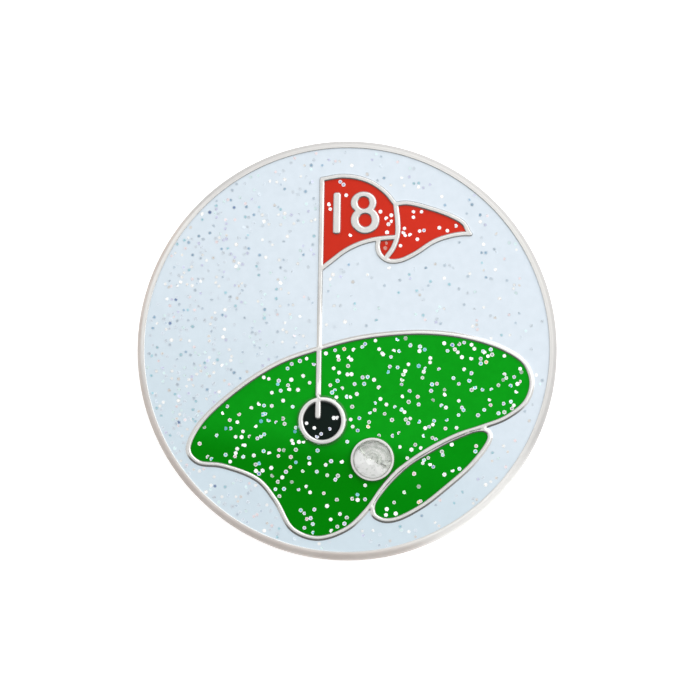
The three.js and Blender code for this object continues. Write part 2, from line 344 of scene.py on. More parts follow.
def paint_points(mesh, name, colours):
    layer = mesh.color_attributes.new(name, "FLOAT_COLOR", "POINT")
    layer.data.foreach_set("color", np.array(colours).ravel())


def raised(points, heights):
    """Plane points lifted to a height, or each to its own."""
    heights = np.broadcast_to(heights, len(points))
    return np.column_stack([points, heights])


def triangulated(loops, inner=()):
    """Triangles over the area that the loops enclose, through any further inner points."""
    points = np.vstack([*loops, *inner])
    edges = []
    start = 0
    for loop in loops:
        count = len(loop)
        edges += [(start + i, start + (i + 1) % count) for i in range(count)]
        start += count
    output = delaunay_2d_cdt([Vector(p) for p in points], edges, [], 0, MESHING_TOLERANCE)
    flat = np.array([tuple(v) for v in output[0]])
    faces = np.array([tuple(face) for face in output[2]])
    middles = flat[faces].mean(axis=1)
    return flat, faces[inside(middles, loops)]


def wall(builder, loop, low, high):
    """A wall below a loop, from low to high, each a height or one for each point."""
    count = len(loop)
    points = np.vstack([raised(loop, low), raised(loop, high)])
    faces = [(i, (i + 1) % count, count + (i + 1) % count, count + i) for i in range(count)]
    builder.add(points, faces)


def flat_area(builder, loops, height):
    flat, faces = triangulated(loops)
    builder.add(raised(flat, height), faces)


def lathe(builder, x, y, profile, steps):
    """Turns a profile of (radius, height) points round a vertical axis, and closes its end."""
    rings = [raised(circle(x, y, radius, steps), height) for radius, height in profile]
    faces = []
    for k in range(len(rings) - 1):
        for i in range(steps):
            j = (i + 1) % steps
            faces.append((k * steps + i, k * steps + j, (k + 1) * steps + j, (k + 1) * steps + i))
    faces.append([(len(rings) - 1) * steps + i for i in range(steps)])
    builder.add(np.vstack(rings), faces)


def quarter_round(centre, size, start):
    """Points of a quarter turn in a (radius, height) profile, anticlockwise from an angle."""
    angles = [math.radians(start + 90 * i / QUARTER_STEPS) for i in range(QUARTER_STEPS + 1)]
    return [(centre[0] + size * math.cos(a), centre[1] + size * math.sin(a)) for a in angles]


# ---- Outlines ----

ENAMEL_NODES = [
    "sky_enamel",
    "green_enamel",
    "apron_enamel",
    "cup_enamel",
    "flag_enamel",
    "flag_fold_enamel",
    "flag_tail_enamel",
    "eight_upper_enamel",
    "eight_lower_enamel",
]
CELLS = {node: [smooth_loop(loop) for loop in top_loops(node)] for node in ENAMEL_NODES}


def is_rim(loop):
    """Only the rim's outline stays in the outermost tenth of the disc."""
    return np.linalg.norm(loop, axis=1).min() > DISC_RADIUS * 0.9


def is_bezel(loop):
    """Only the bezel's outline has its middle at the stone's."""
    return np.abs(loop.mean(axis=0) - (STONE_X, STONE_Y)).max() < SAME_PLACE


def cell_walls(loops):
    """The metal's side of a cell's outlines, a seam away from the enamel."""
    return [moved_left(loop, -SEAM) for loop in loops]


WALLS = {node: cell_walls(loops) for node, loops in CELLS.items()}
ALL_WALLS = [loop for loops in WALLS.values() for loop in loops]
RIM_WALL = next(loop for loop in ALL_WALLS if is_rim(loop))
BEZEL_WALL = next(loop for loop in ALL_WALLS if is_bezel(loop))
LINE_WALLS = [loop for loop in ALL_WALLS if not is_rim(loop) and not is_bezel(loop)]
RIM_INNER_RADIUS = np.linalg.norm(RIM_WALL, axis=1).mean()
BEZEL_RADIUS = np.linalg.norm(BEZEL_WALL - (STONE_X, STONE_Y), axis=1).mean()


# ---- The struck disc ----

RING_MIDDLE = CUP_RADIUS + CUP_RING_WIDTH / 2
GREEN_WALLS = Border(WALLS["green_enamel"])
APRON_WALLS = Border(WALLS["apron_enamel"])
SKY_WALLS = [loop for loop in WALLS["sky_enamel"] if not is_rim(loop)]
OTHER_WALLS = [loop for node in ENAMEL_NODES[1:] for loop in WALLS[node] if not is_bezel(loop)]


def from_cup(points):
    return np.linalg.norm(points - (CUP_X, CUP_Y), axis=1)


def on_cup_ring(points):
    """1 on and inside the ring round the cup. Outside it the pole slopes down to the lines' 0."""
    ring_edge = RING_MIDDLE + CUP_RING_WIDTH / 2
    return 1 - smoothstep(ring_edge, RING_MIDDLE + POLE_SLOPE_END, from_cup(points))


def groove(points):
    """The depth of the valley between the green's line and the apron's line."""
    to_green = GREEN_WALLS.distance(points)
    to_apron = APRON_WALLS.distance(points)
    across = (to_green - GROOVE_BALANCE * to_apron) / GROOVE_WIDTH
    together = 1 - smoothstep(*GROOVE_FADE, to_green + to_apron)
    return GROOVE_DEPTH * together * np.exp(-across * across)


def flank_drop(flank, distance):
    widths, drops = zip(*flank)
    return np.interp(distance, widths, drops)


def metal_height(points, sky_border, other_border):
    """The height of the raised metal, from the distances to the walls round it."""
    flank_share = 1 - (1 - FULLER_SKY_FLANK) * smoothstep(*FULLER_SKY, points[:, 1])
    to_sky = sky_border.distance(points) / flank_share
    to_other = other_border.distance(points)
    from_ring_middle = (from_cup(points) - RING_MIDDLE) / CUP_RING_WIDTH
    outside_of_ring = (from_ring_middle > 0) & (from_ring_middle < RING_OUTSIDE)
    beside_other = np.where(outside_of_ring, flank_drop(CUP_RING_FLANK, to_other),
                            flank_drop(NARROW_FLANK, to_other))
    drop = np.maximum(flank_drop(BROAD_FLANK, to_sky), beside_other)
    top = LINE_TOP + (RING_TOP - LINE_TOP) * on_cup_ring(points)
    return top - drop - groove(points)


def raised_line_top(builder):
    """The raised lines, with a sloping flank along every wall."""
    sky_border = Border(SKY_WALLS)
    other_border = Border(OTHER_WALLS)
    border = Border(LINE_WALLS)
    inner = []
    for flank, walls in ((BROAD_FLANK, SKY_WALLS), (NARROW_FLANK, OTHER_WALLS)):
        for width, _ in flank[1:]:
            for loop in walls:
                inner.append(border.clear(moved_left(loop, -width), CLEAR_OF_LINES * width))
    for width, _ in CUP_RING_FLANK[1:]:
        ring = circle(CUP_X, CUP_Y, CUP_RADIUS + CUP_RING_WIDTH - width, RING_STEPS)
        inner.append(border.clear(ring, CLEAR_OF_CUP_RING * width))
    for width in GROOVE_RINGS:
        for loop in WALLS["apron_enamel"]:
            shifted = moved_left(loop, -width)
            beside_green = shifted[GREEN_WALLS.distance(shifted) < GROOVE_ZONE]
            inner.append(border.clear(beside_green, GROOVE_CLEAR))
    flat, faces = triangulated(LINE_WALLS, inner)
    builder.add(raised(flat, metal_height(flat, sky_border, other_border)), faces)
    for loop in LINE_WALLS:
        wall(builder, loop, CELL_FLOOR, metal_height(loop, sky_border, other_border))


def rim_and_back(builder):
    """The rim from its inner wall over the top, down the side and across the back."""
    inner = RIM_INNER_RADIUS
    outer = DISC_RADIUS
    share = RIM_FLANK_SHARE
    flank = [(inner + share * width, RIM_TOP - share * drop) for width, drop in BROAD_FLANK]
    flank.append((flank[-1][0] + FLAT_START, RIM_TOP))
    trimmed = [(outer - width, RIM_TOP - drop) for width, drop in TRIMMED_EDGE]
    back_round = quarter_round((outer - BACK_ROUND, BACK_ROUND), BACK_ROUND, 270)[::-1]
    back = [(outer * part, 0) for part in BACK_RINGS]
    profile = [(inner, CELL_FLOOR), *flank, *trimmed, *back_round, *back]
    lathe(builder, 0, 0, profile, CIRCLE_STEPS)


def bezel(builder):
    """The raised collar round the stone, with its seat down to the glue."""
    seat = STONE_RADIUS + SEAT_GAP
    edge = BEZEL_OUTER_ROUND
    tip_radius, tip_depth = SEAT_TIP
    profile = [
        (BEZEL_RADIUS, CELL_FLOOR),
        *quarter_round((BEZEL_RADIUS - edge, RING_TOP - edge), edge, 0),
        *((seat + BEZEL_BEVEL * out, RING_TOP - BEZEL_BEVEL * drop) for out, drop in BEZEL_LIP),
        (seat, GLUE_HIGH[2] - SEAT_OVERLAP),
        (tip_radius, GLUE_LOW[2] - tip_depth),
    ]
    lathe(builder, STONE_X, STONE_Y, profile, len(BEZEL_WALL))


def struck_disc():
    builder = Builder()
    raised_line_top(builder)
    rim_and_back(builder)
    bezel(builder)
    floor_loops = [circle(0, 0, RIM_INNER_RADIUS, CIRCLE_STEPS), *LINE_WALLS,
                   circle(STONE_X, STONE_Y, BEZEL_RADIUS, len(BEZEL_WALL))]
    flat_area(builder, floor_loops, CELL_FLOOR)
    return builder.object("struck_nickel")


# ---- Enamel ----


def ripple(points):
    """Slow waves in the surface of the poured enamel."""
    x, y = points[:, 0], points[:, 1]
    waves = [np.sin(along_x * x + along_y * y + phase) for along_x, along_y, phase in RIPPLES]
    return RIPPLE_HEIGHT * sum(waves)


def enamel_height(points, distance):
    """The height of a fill's surface, from the distance to the metal."""
    rise = MENISCUS_RISE * np.exp(-distance / MENISCUS_REACH)
    open_share = 1 - np.exp(-distance / CALM_REACH)
    return ENAMEL_TOP - ENAMEL_SINK + rise + ripple(points) * open_share


def grid_inside(loops, border):
    """A square grid of points in the open middle of a fill."""
    low = np.vstack(loops).min(axis=0)
    high = np.vstack(loops).max(axis=0)
    xs = np.arange(low[0] + GRID_STEP / 2, high[0], GRID_STEP)
    ys = np.arange(low[1] + GRID_STEP / 2, high[1], GRID_STEP)
    points = np.stack(np.meshgrid(xs, ys), axis=-1).reshape(-1, 2)
    return border.clear(points[inside(points, loops)], GRID_MARGIN)


def enamel(node, name):
    """One poured fill, drawn up along the metal. Its points are painted by how near that is, which
    sets the painted shade beside the metal.
    """
    loops = CELLS[node]
    border = Border(loops)
    inner = []
    for width in MENISCUS_RINGS:
        for loop in loops:
            inner.append(border.clear(moved_left(loop, width), CLEAR_IN_FILL * width))
    inner.append(grid_inside(loops, border))
    flat, faces = triangulated(loops, inner)
    builder = Builder()
    builder.add(raised(flat, enamel_height(flat, border.distance(flat))), faces)
    edge_height = enamel_height(np.zeros((1, 2)), np.zeros(1))[0]
    for loop in loops:
        wall(builder, loop, ENAMEL_BOTTOM, edge_height)
    flat_area(builder, loops, ENAMEL_BOTTOM)
    piece = builder.object(name)
    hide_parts(node)
    places = np.array([v.co[:2] for v in piece.data.vertices]) / MM
    closeness = np.exp(-border.distance(places) / EDGE_SHADE_REACH)
    paint_points(piece.data, "edge_shade", [(share, share, share, 1) for share in closeness])
    return piece, loops, border


# ---- Glitter ----

FLAKE_RADIUS = 0.13
FLAKE_SIZES = (0.86, 1.06)  # smallest and largest, times the radius
FLAKE_HEART = 0.36  # of the flake's radius takes the heart's colour
FLAKE_THICKNESS = 0.014
FLAKE_LIFT = (0.004, 0.008)  # how far the top of a flake stands above the enamel
FLAKE_LEAN = 3.5  # degrees, the spread of the tilts
FLAKE_SHADES = (0.9, 1.08)
FLAKE_SPACING = 0.2
TOUCHING_CHANCE = 0.1  # that a flake nearer than the spacing is kept all the same
WALL_CLEARANCE = 0.95  # of a flake's radius
TRIES_PER_FLAKE = 16
SIDES = 6
HEART_START = 1  # a flake's points: its middle, then the rings that start at these numbers
TOP_START = HEART_START + SIDES
UNDERSIDE_START = TOP_START + SIDES
FLAKE_POINTS = UNDERSIDE_START + SIDES


def flake_spots(loops, border, count, crowd, pick):
    """Places in a fill, mostly clear of each other. Crowd gives the chance of a flake at (x, y)."""
    low = np.vstack(loops).min(axis=0)
    high = np.vstack(loops).max(axis=0)
    spots = pick.uniform(low, high, (count * TRIES_PER_FLAKE, 2))
    spots = spots[pick.uniform(size=len(spots)) < crowd(spots)]
    spots = spots[inside(spots, loops)]
    spots = border.clear(spots, FLAKE_RADIUS * WALL_CLEARANCE)
    kept = []
    for spot in spots:
        gaps = [math.dist(spot, other) for other in kept]
        if min(gaps, default=1) > FLAKE_SPACING or pick.uniform() < TOUCHING_CHANCE:
            kept.append(spot)
    return np.array(kept[:count])


def flake(spot, height, pick):
    """A thin hexagon: its middle, a ring round its heart, the corners of its top and underside."""
    size = FLAKE_RADIUS * pick.uniform(*FLAKE_SIZES)
    lean = math.radians(abs(pick.normal(0, FLAKE_LEAN)))
    tilt = Matrix.Rotation(lean, 3, Vector((*pick.normal(size=2), 0)).normalized())
    turn = pick.uniform(0, math.pi)
    angles = [turn + i * 2 * math.pi / SIDES for i in range(SIDES)]
    middle = Vector((*spot, height))
    depth = tilt @ Vector((0, 0, FLAKE_THICKNESS))

    def hexagon(radius):
        corners = [Vector((radius * math.cos(a), radius * math.sin(a), 0)) for a in angles]
        return [middle + tilt @ corner for corner in corners]

    corners = hexagon(size)
    return [middle, *hexagon(size * FLAKE_HEART), *corners, *(c - depth for c in corners)]


def next_corner(i):
    return (i + 1) % SIDES


def band(inner, outer):
    """The faces between two rings of a flake's points."""
    return [(inner + i, outer + i, outer + next_corner(i), inner + next_corner(i))
            for i in range(SIDES)]


FLAKE_FACES = [
    *((0, HEART_START + i, HEART_START + next_corner(i)) for i in range(SIDES)),
    *band(HEART_START, TOP_START),
    *band(TOP_START, UNDERSIDE_START),
    tuple(reversed(range(UNDERSIDE_START, FLAKE_POINTS))),
]


def glitter(name, loops, border, count, palette, crowd, seed):
    """Flakes scattered in one fill. The palette holds (weight, heart colour, edge colour) rows."""
    pick = np.random.default_rng(seed)
    spots = flake_spots(loops, border, count, crowd, pick)
    heights = enamel_height(spots, border.distance(spots))
    heights += pick.uniform(*FLAKE_LIFT, len(spots))
    weights = np.array([row[0] for row in palette], float)
    choices = pick.choice(len(palette), len(spots), p=weights / weights.sum())
    points = []
    faces = []
    colours = []
    for spot, height, choice in zip(spots, heights, choices):
        faces += [[len(points) + i for i in face] for face in FLAKE_FACES]
        points += flake(spot, height, pick)
        _, heart, edge = palette[choice]
        shade = pick.uniform(*FLAKE_SHADES)
        colours += [(*(shade * c for c in heart), 1)] * TOP_START
        colours += [(*(shade * c for c in edge), 1)] * (FLAKE_POINTS - TOP_START)
    mesh = bpy.data.meshes.new(name)
    mesh.from_pydata([p * MM for p in points], [], faces)
    paint_points(mesh, "flake_colour", colours)
    piece = bpy.data.objects.new(name, mesh)
    bpy.context.scene.collection.objects.link(piece)
    finish_piece(piece, MATERIALS["glitter"])


# ---- Materials ----

BUMP_STRENGTH = 0.5
NOISE_RANGE = (0.3, 0.7)  # nearly all of a noise lies between these


def opaque(value):
    """A plain colour with its alpha added. A link is returned as it is."""
    return (*value, 1) if isinstance(value, tuple) else value


def eased(tree, value, low, high, out_low, out_high):
    """A value that eases from one output to the other as the input goes from low to high."""
    node = tree.nodes.new("ShaderNodeMapRange")
    node.interpolation_type = "SMOOTHSTEP"
    limits = {"From Min": low, "From Max": high, "To Min": out_low, "To Max": out_high}
    for socket, number in limits.items():
        node.inputs[socket].default_value = number
    tree.links.new(value, node.inputs["Value"])
    return node.outputs["Result"]


class Nodes:
    """A short way to write a material's node tree. Sizes of noise and depths are millimetres."""

    def __init__(self, name):
        self.material = bpy.data.materials.new(name)
        self.material.use_nodes = True
        self.tree = self.material.node_tree
        self.tree.nodes.clear()
        output = self.tree.nodes.new("ShaderNodeOutputMaterial")
        self.shader = self.tree.nodes.new("ShaderNodeBsdfPrincipled")
        self.link(self.shader.outputs["BSDF"], output.inputs["Surface"])
        coordinates = self.tree.nodes.new("ShaderNodeTexCoord").outputs
        self.place = coordinates["Object"]
        self.normal = coordinates["Normal"]

    def link(self, source, target):
        self.tree.links.new(source, target)

    def put(self, target, value):
        """Sets a socket to a number or colour, or links it to another node's output."""
        if isinstance(value, bpy.types.NodeSocket):
            self.link(value, target)
        else:
            target.default_value = value

    def set(self, **sockets):
        for name, value in sockets.items():
            self.put(self.shader.inputs[name.replace("_", " ")], value)

    def painted(self, name):
        """The colour painted on the mesh's points."""
        node = self.tree.nodes.new("ShaderNodeAttribute")
        node.attribute_name = name
        return node.outputs["Color"]

    def scaled(self, x, y, z):
        mapping = self.tree.nodes.new("ShaderNodeMapping")
        mapping.inputs["Scale"].default_value = (x, y, z)
        self.link(self.place, mapping.inputs["Vector"])
        return mapping.outputs["Vector"]

    def noise(self, size_mm, detail=2.0, vector=None):
        node = self.tree.nodes.new("ShaderNodeTexNoise")
        node.inputs["Scale"].default_value = 1 / (size_mm * MM)
        node.inputs["Detail"].default_value = detail
        self.link(vector or self.place, node.inputs["Vector"])
        return node.outputs["Fac"]

    def ramp(self, value, low, high, out_low=0.0, out_high=1.0):
        return eased(self.tree, value, low, high, out_low, out_high)

    def patchy(self, size_mm, low, high, detail=2.0):
        """A number that varies from place to place between low and high."""
        return self.ramp(self.noise(size_mm, detail), *NOISE_RANGE, low, high)

    def mix(self, factor, first, second):
        node = self.tree.nodes.new("ShaderNodeMix")
        node.data_type = "RGBA"
        self.put(node.inputs["Factor"], factor)
        self.put(node.inputs["A"], opaque(first))
        self.put(node.inputs["B"], opaque(second))
        return node.outputs["Result"]

    def math(self, operation, first, second=0.0):
        node = self.tree.nodes.new("ShaderNodeMath")
        node.operation = operation
        self.put(node.inputs[0], first)
        self.put(node.inputs[1], second)
        return node.outputs[0]

    def add(self, first, second):
        return self.math("ADD", first, second)

    def times(self, first, second):
        return self.math("MULTIPLY", first, second)

    def distance(self, centre_mm):
        """The distance from a vertical axis."""
        x, y, _ = self.axes(self.place)
        x = self.add(x, -centre_mm[0] * MM)
        y = self.add(y, -centre_mm[1] * MM)
        return self.math("SQRT", self.add(self.times(x, x), self.times(y, y)))

    def along(self, x_share, y_share):
        """How far a point lies in a plan direction."""
        x, y, _ = self.axes(self.place)
        return self.add(self.times(x, x_share), self.times(y, y_share))

    def axes(self, vector):
        split = self.tree.nodes.new("ShaderNodeSeparateXYZ")
        self.link(vector, split.inputs["Vector"])
        return split.outputs[0], split.outputs[1], split.outputs[2]

    def bump(self, value, depth_mm, below=None):
        """A normal bent by a height. Below is another bump's normal, under this one."""
        node = self.tree.nodes.new("ShaderNodeBump")
        node.inputs["Distance"].default_value = depth_mm * MM
        node.inputs["Strength"].default_value = BUMP_STRENGTH
        self.link(value, node.inputs["Height"])
        if below is not None:
            self.link(below, node.inputs["Normal"])
        return node.outputs["Normal"]


# Where the rim's finish changes, as distances in from the disc's side.
TRIM_START = (0.4, 0.33)
SIDE_START = (0.26, 0.14)
TRIM_METALLIC = 0.4
TRIM_ROUGHNESS = 0.7
FLAT_NORMAL = (0.86, 0.98)  # how upright the surface is where gloss turns into satin
SATIN = 0.26  # roughness that a flat top has more than a steep flank
# Regions of the rim where light and shade are painted into the nickel: a plan direction, and how
# far out along it in disc radii each begins and is in full.
SHADE_PAINTED_TOP = ((-0.5, -0.87), (0.5, 0.8))
SHADE_PAINTED_SIDE = ((-0.8, -0.6), (0.12, 0.37))
LIGHT_PAINTED_END = ((0.5, -0.87), (0.78, 0.97))
GLEAM_PAINTED_LEFT = ((-0.94, 0.34), (0.8, 0.98))
# Colours of the nickel. Pairs are cloudy mixtures. The gleam and light colours are painted light,
# the shade colours are painted shade, and the side's plain colour is darker as painted shade.
PLATE = ((0.625, 0.62, 0.603), (0.66, 0.655, 0.64))
TOP_PLAIN = (0.60, 0.59, 0.575)
TOP_PAINTED_GLEAM = (0.74, 0.73, 0.71)
TOP_PAINTED_LIGHT = (0.80, 0.79, 0.77)
TOP_PAINTED_SHADE = ((0.59, 0.535, 0.50), (0.65, 0.60, 0.565))
SIDE_PLAIN = (0.50, 0.49, 0.48)
SIDE_PAINTED_LIGHT = (0.84, 0.83, 0.81)
SIDE_PAINTED_SHADE = ((0.55, 0.495, 0.46), (0.60, 0.55, 0.515))


def nickel():
    """Bright plating: satin on the tops, glossy on the flanks, rough where the rim is trimmed.
    Painted light makes it lighter at the left and the lower right. Painted shade makes it darker
    and browner at the lower left, and darker on the side except at the lower right.
    """
    n = Nodes("nickel")
    reach = n.distance((0, 0))
    cloud = n.ramp(n.noise(2.2, detail=3), 0.35, 0.65)

    def outwards(band):
        """0 inside a band of the disc, 1 outside it."""
        inner, outer = band
        return n.ramp(reach, (DISC_RADIUS - inner) * MM, (DISC_RADIUS - outer) * MM)

    def towards(region):
        direction, (begins, full) = region
        return n.ramp(n.along(*direction), begins * DISC_RADIUS * MM, full * DISC_RADIUS * MM)

    # Painted light and painted shade on the rim's top and side.
    bright = towards(LIGHT_PAINTED_END)
    top = n.mix(towards(GLEAM_PAINTED_LEFT), TOP_PLAIN, TOP_PAINTED_GLEAM)
    top = n.mix(bright, top, TOP_PAINTED_LIGHT)
    top = n.mix(towards(SHADE_PAINTED_TOP), top, n.mix(cloud, *TOP_PAINTED_SHADE))
    side = n.mix(bright, SIDE_PLAIN, SIDE_PAINTED_LIGHT)
    side = n.mix(towards(SHADE_PAINTED_SIDE), side, n.mix(cloud, *SIDE_PAINTED_SHADE))
    trimmed = outwards(TRIM_START)
    cut_edge = n.mix(outwards(SIDE_START), top, side)

    fine = n.noise(0.09, detail=3)
    scratches = n.noise(0.05, vector=n.scaled(1.0, 0.04, 1.0))
    flatness = n.ramp(n.axes(n.normal)[2], *FLAT_NORMAL)
    polish = n.add(n.times(flatness, SATIN), n.ramp(fine, *NOISE_RANGE, 0.14, 0.22))
    n.set(
        Base_Color=n.mix(trimmed, n.mix(cloud, *PLATE), cut_edge),
        Metallic=n.ramp(trimmed, 0.0, 1.0, 1.0, TRIM_METALLIC),
        Roughness=n.math("MAXIMUM", polish, n.times(trimmed, TRIM_ROUGHNESS)),
        Normal=n.bump(scratches, 0.0008, below=n.bump(fine, 0.0015)),
    )
    return n.material


# Each fill is painted lighter and darker across it, and darker at the left: painted shade.
DRIFT = 2.0  # millimetres by which the border between light and deep wanders
LEFT_FADE = (-9.0, 1.0)  # x in millimetres between which the light colour gains its full share
LIGHT_AT_LEFT = 0.72
MOTTLE = 0.12  # the most that the darker mottling is mixed in
MOTTLE_DEPTH = 0.8  # times the deep colour
EDGE_DEPTH = 0.4  # times the deep colour, for the painted shade beside the metal


def darker(colour, share):
    return tuple(share * c for c in colour)


def enamel_finish(name, light, deep, towards, span, edge_shade=0.6):
    """Glossy fill. Its colour goes from deep to light over a span in millimetres, in a plan
    direction, and is darker at the left and beside the metal. All of this is painted shade."""
    n = Nodes(name)
    start, end = span
    along = n.along(towards[0] / MM, towards[1] / MM)
    drift = n.times(n.noise(4.0), DRIFT)
    lightness = n.ramp(n.add(along, drift), start + DRIFT / 2, end + DRIFT / 2)
    left, middle = LEFT_FADE
    from_left = n.ramp(n.along(1, 0), left * MM, middle * MM, LIGHT_AT_LEFT, 1.0)
    base = n.mix(n.times(lightness, from_left), deep, light)
    mottle = n.patchy(0.5, 0.0, MOTTLE, detail=3)
    base = n.mix(mottle, base, darker(deep, MOTTLE_DEPTH))
    # Painted shade: the fill is darker beside the metal.
    edge = n.times(n.painted("edge_shade"), edge_shade)
    n.set(
        Base_Color=n.mix(edge, base, darker(deep, EDGE_DEPTH)),
        Roughness=n.patchy(1.2, 0.04, 0.08),
        Specular_IOR_Level=0.35,
        Normal=n.bump(n.noise(0.35, detail=1), 0.002),
    )
    return n.material


def glitter_finish():
    """Pearly metallised film. Each flake has its own colour."""
    n = Nodes("glitter")
    grain = n.patchy(0.05, 0.0, 0.15)
    n.set(
        Base_Color=n.mix(grain, n.painted("flake_colour"), (0.9, 0.92, 0.95)),
        Metallic=0.25,
        Roughness=n.patchy(0.08, 0.25, 0.45),
    )
    return n.material


# Painted reflection: at the lower left the stone is painted white and less clear.
GLARE_DIRECTION = (-0.55, -0.83)  # in plan, from the stone's middle, towards the painted reflection
GLARE_BAND = (0.42, 0.6)  # millimetres along it, where clear turns into the painted reflection
GLARE_DRIFT = 0.9
SILVER_BAND = 0.02  # millimetres below the foil's top edge over which the silvering begins
ARC_PITCH = 17  # radians of the bright and dull rings of painted facet reflection for each millimetre out
ARC_WOBBLE = 9
CLEAR_TRANSMISSION = 0.88
GLARE_TRANSMISSION = 0.45
CLEAR_GLASS = (0.97, 0.985, 0.965)
GLARE_WHITE = (0.98, 0.985, 0.98)
MARK_IN_GLARE = (0.74, 0.77, 0.74)
DULL_FACET = (0.66, 0.71, 0.64)
BRIGHT_FACET = (1.0, 1.0, 0.98)
GLARE_SILVER = (1.0, 1.0, 0.99)


def crystal_glass():
    """Clear glass, painted white and less clear at the lower left as a painted reflection. Under
    the girdle the silvering shows from inside, with broken rings of facets painted on as
    reflections and patches of painted highlight."""
    n = Nodes("crystal_glass")
    middle = GLARE_DIRECTION[0] * STONE_X + GLARE_DIRECTION[1] * STONE_Y
    begins, full = GLARE_BAND
    along = n.add(n.along(*GLARE_DIRECTION), n.times(n.noise(0.3, detail=3), GLARE_DRIFT * MM))
    glare = n.ramp(along, (middle + begins) * MM, (middle + full) * MM)
    height = n.axes(n.place)[2]
    silvered = n.ramp(height, (SILVER_TOP - SILVER_BAND) * MM, SILVER_TOP * MM, 1.0, 0.0)

    # Painted reflections of the facets: broken rings, with patches of painted highlight.
    turned = n.add(n.times(n.distance((STONE_X, STONE_Y)), ARC_PITCH / MM),
                   n.times(n.noise(0.6, detail=1), ARC_WOBBLE))
    arcs = n.ramp(n.math("SINE", turned), -1, 0.6)
    patches = n.ramp(n.noise(0.45, detail=1), 0.44, 0.56)
    facets = n.mix(n.times(n.add(arcs, patches), 0.5), DULL_FACET, BRIGHT_FACET)
    silver = n.mix(glare, facets, GLARE_SILVER)
    marks = n.ramp(n.noise(0.14), 0.6, 0.66)
    glass = n.mix(glare, CLEAR_GLASS, n.mix(marks, GLARE_WHITE, MARK_IN_GLARE))
    clear = n.ramp(glare, 0.0, 1.0, CLEAR_TRANSMISSION, GLARE_TRANSMISSION)
    n.set(
        Base_Color=n.mix(silvered, glass, silver),
        Roughness=n.times(silvered, n.ramp(glare, 0.0, 1.0, 0.06, 0.3)),
        Metallic=n.times(silvered, n.ramp(glare, 0.0, 1.0, 0.9, 0.1)),
        Transmission_Weight=n.times(n.ramp(silvered, 0.0, 1.0, 1.0, 0.0), clear),
        IOR=1.54,
    )
    return n.material


def mirror_foil():
    """The silver coat on the stone's pointed back."""
    n = Nodes("mirror_foil")
    n.set(
        Base_Color=n.mix(n.ramp(n.noise(0.2), 0.4, 0.7), (0.86, 0.88, 0.86), (0.80, 0.83, 0.80)),
        Metallic=1.0,
        Roughness=n.patchy(0.1, 0.2, 0.3),
    )
    return n.material


def epoxy():
    """The yellowish glue under the stone."""
    n = Nodes("epoxy")
    n.set(
        Base_Color=n.mix(n.noise(0.3), (0.70, 0.66, 0.52), (0.60, 0.55, 0.42)),
        Roughness=n.patchy(0.2, 0.15, 0.3),
    )
    return n.material


def pale_floor():
    """A white paper that stays white in the picture."""
    n = Nodes("pale_floor")
    n.set(
        Base_Color=n.mix(n.noise(60), (0.90, 0.90, 0.90), (0.92, 0.92, 0.92)),
        Roughness=0.9,
        Specular_IOR_Level=0.1,
        Emission_Color=(1, 1, 1, 1),
        Emission_Strength=0.5,
    )
    return n.material


LIGHT_LEVEL = 1.15  # what a level white surface gets from the key light and the tent


def seen_as(red, green, blue):
    """The base colour that a level surface needs to be seen as an 8-bit display colour."""
    shown = [c / 255 for c in (red, green, blue)]
    linear = [((c + 0.055) / 1.055) ** 2.4 if c > 0.04 else c / 12.92 for c in shown]
    return tuple(c / LIGHT_LEVEL for c in linear)


# The light and deep colours of each fill. The change between them is painted shade.
SKY_LIGHT = seen_as(225, 235, 244)
SKY_DEEP = seen_as(210, 225, 234)
GREEN_LIGHT = seen_as(12, 158, 25)
GREEN_DEEP = seen_as(1, 128, 5)
APRON_LIGHT = seen_as(4, 144, 15)
APRON_DEEP = seen_as(1, 133, 9)
RED_LIGHT = seen_as(213, 54, 38)
RED_DEEP = seen_as(203, 50, 35)
RED_SHADED = seen_as(188, 52, 38)
BLACK_LIGHT = seen_as(25, 35, 31)
BLACK_DEEP = seen_as(21, 30, 27)

MATERIALS = {
    "nickel": nickel(),
    "sky": enamel_finish("sky_enamel", SKY_LIGHT, SKY_DEEP, (0.35, 0.94), (-9, 3),
                         edge_shade=0.12),
    "green": enamel_finish("green_enamel", GREEN_LIGHT, GREEN_DEEP, (0.08, 1.0), (-7.3, -4.8)),
    "apron": enamel_finish("apron_enamel", APRON_LIGHT, APRON_DEEP, (0.08, 1.0), (-9, -6)),
    "red": enamel_finish("red_enamel", RED_LIGHT, RED_DEEP, (1.0, 0.3), (-2, 9)),
    "shaded_red": enamel_finish("shaded_red_enamel", RED_DEEP, RED_SHADED, (1.0, 0.3), (0, 6)),
    "black": enamel_finish("black_enamel", BLACK_LIGHT, BLACK_DEEP, (0.0, 1.0), (-6, -3)),
    "glitter": glitter_finish(),
    "glass": crystal_glass(),
    "foil": mirror_foil(),
    "epoxy": epoxy(),
    "floor": pale_floor(),
}


def finish_piece(piece, material):
    piece.data.materials.clear()
    piece.data.materials.append(material)
    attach(piece, "root")


def recolour(node, material):
    """Gives a CAD node that stays in view its detailed material."""
    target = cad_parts[node]
    for material_slot in target.material_slots:
        material_slot.material = material


# ---- Putting the marker together ----

WHITE = (0.98, 0.98, 0.98)
PEARL = seen_as(236, 238, 240)
LILAC = seen_as(165, 172, 212)
ROSE = seen_as(216, 176, 184)
ASH = seen_as(150, 160, 154)
ICE = seen_as(170, 222, 236)
CYAN = seen_as(80, 196, 214)
BLUE = seen_as(60, 130, 215)
GOLD = seen_as(245, 190, 90)
SAGE = seen_as(168, 208, 170)
NAVY = seen_as(74, 106, 160)
STEEL = seen_as(130, 166, 192)
TEAL = seen_as(86, 176, 190)
SLATE = seen_as(176, 194, 208)
MIST = seen_as(206, 218, 228)
HAZE = seen_as(218, 229, 238)
BLUSH = seen_as(238, 220, 222)
THISTLE = seen_as(200, 204, 232)
FOAM = seen_as(214, 240, 240)
AQUA = seen_as(150, 200, 212)
BEIGE = seen_as(220, 214, 206)
CREAM = seen_as(248, 247, 243)

